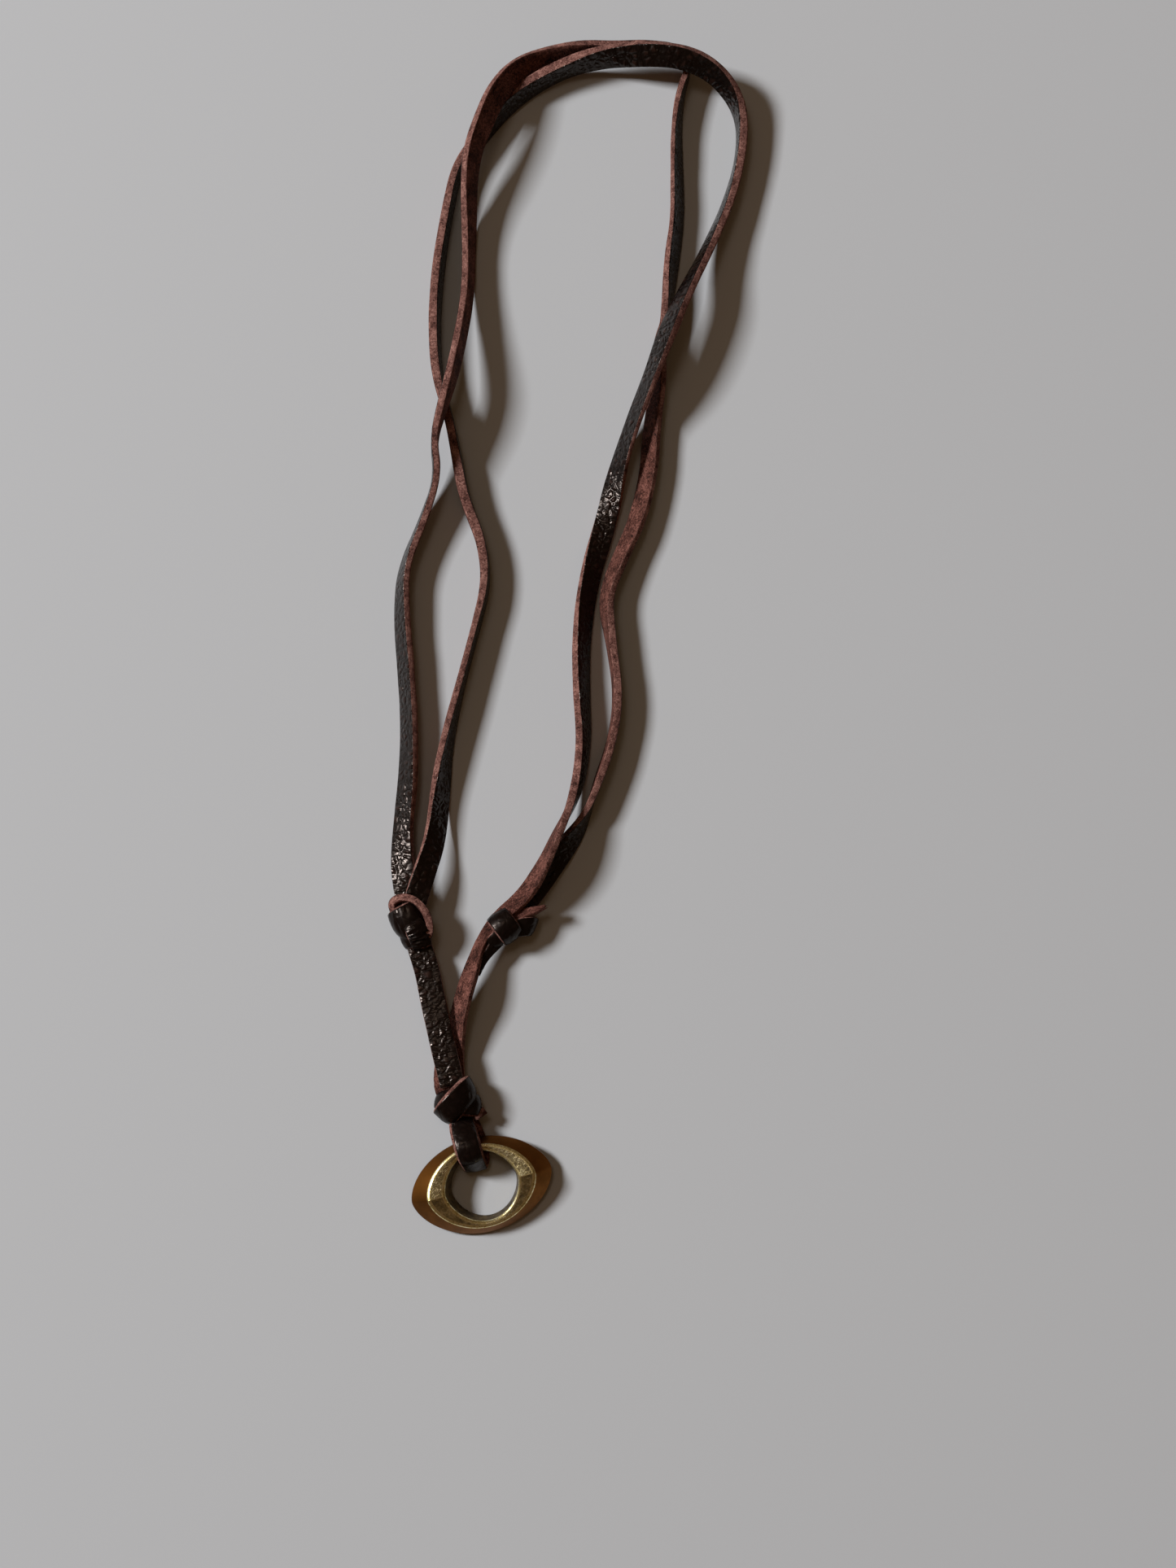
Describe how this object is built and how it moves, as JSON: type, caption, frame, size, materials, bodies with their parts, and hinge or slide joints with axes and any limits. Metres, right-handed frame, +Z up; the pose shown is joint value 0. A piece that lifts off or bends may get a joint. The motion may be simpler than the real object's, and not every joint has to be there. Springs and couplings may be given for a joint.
{
  "type": "leather cord necklace",
  "caption": "Adjustable necklace of flat leather laces with sliding knots and an eye-shaped brass ring on a loop.",
  "frame": {"origin": "on the surface that the necklace lies on, under the middle of the ring, its loop and the three knots", "axes": "+Y from the ring towards the back of the neck, +X to the viewer's right, +Z up from the surface"},
  "size_m": [0.0745, 0.2488, 0.0109],
  "materials": {
    "cast_brass": "cast, tarnished, worn bright along its edges",
    "lace_leather": "glossy pebbled grain, suede back, raw cut edges",
    "knot_leather": "glossy stretched grain with raw cut edges"
  },
  "bodies": {
    "root": {"pendant_ring": "cast_brass", "ring_loop": "lace_leather", "pendant_knot": "knot_leather", "left_knot": "knot_leather", "right_knot": "knot_leather", "left_lace": "lace_leather", "right_lace": "lace_leather"}
  },
  "joints": []
}
